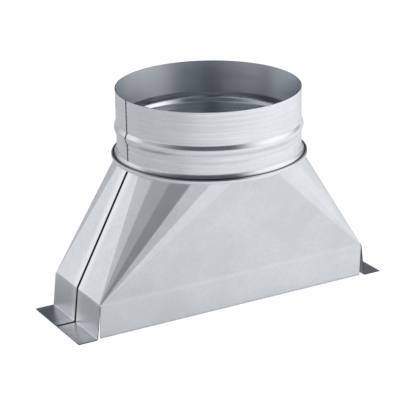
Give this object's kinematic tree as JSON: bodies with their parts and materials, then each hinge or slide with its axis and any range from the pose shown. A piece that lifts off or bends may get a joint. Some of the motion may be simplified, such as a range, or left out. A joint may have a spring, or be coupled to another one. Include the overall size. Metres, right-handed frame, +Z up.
{
  "type": "register boot",
  "caption": "Straight sheet-metal boot that turns a flat rectangular floor opening into a round collar, with a stop bead, a hemmed joint and mounting tabs at both ends.",
  "frame": {"origin": "on the floor plane under the collar's axis, midway between the two ends", "axes": "+X along the long side of the rectangular opening, +Y across it, +Z up along the collar's axis towards its open rim"},
  "size_m": [0.2898, 0.1618, 0.181],
  "materials": {
    "galvanised_shell": "satin hot-dip galvanised sheet, folded",
    "galvanised_collar": "satin hot-dip galvanised sheet, rolled round with fine rolling lines"
  },
  "bodies": {
    "root": {"front_shell": "galvanised_shell", "rear_shell": "galvanised_shell", "collar": "galvanised_collar"}
  },
  "joints": []
}
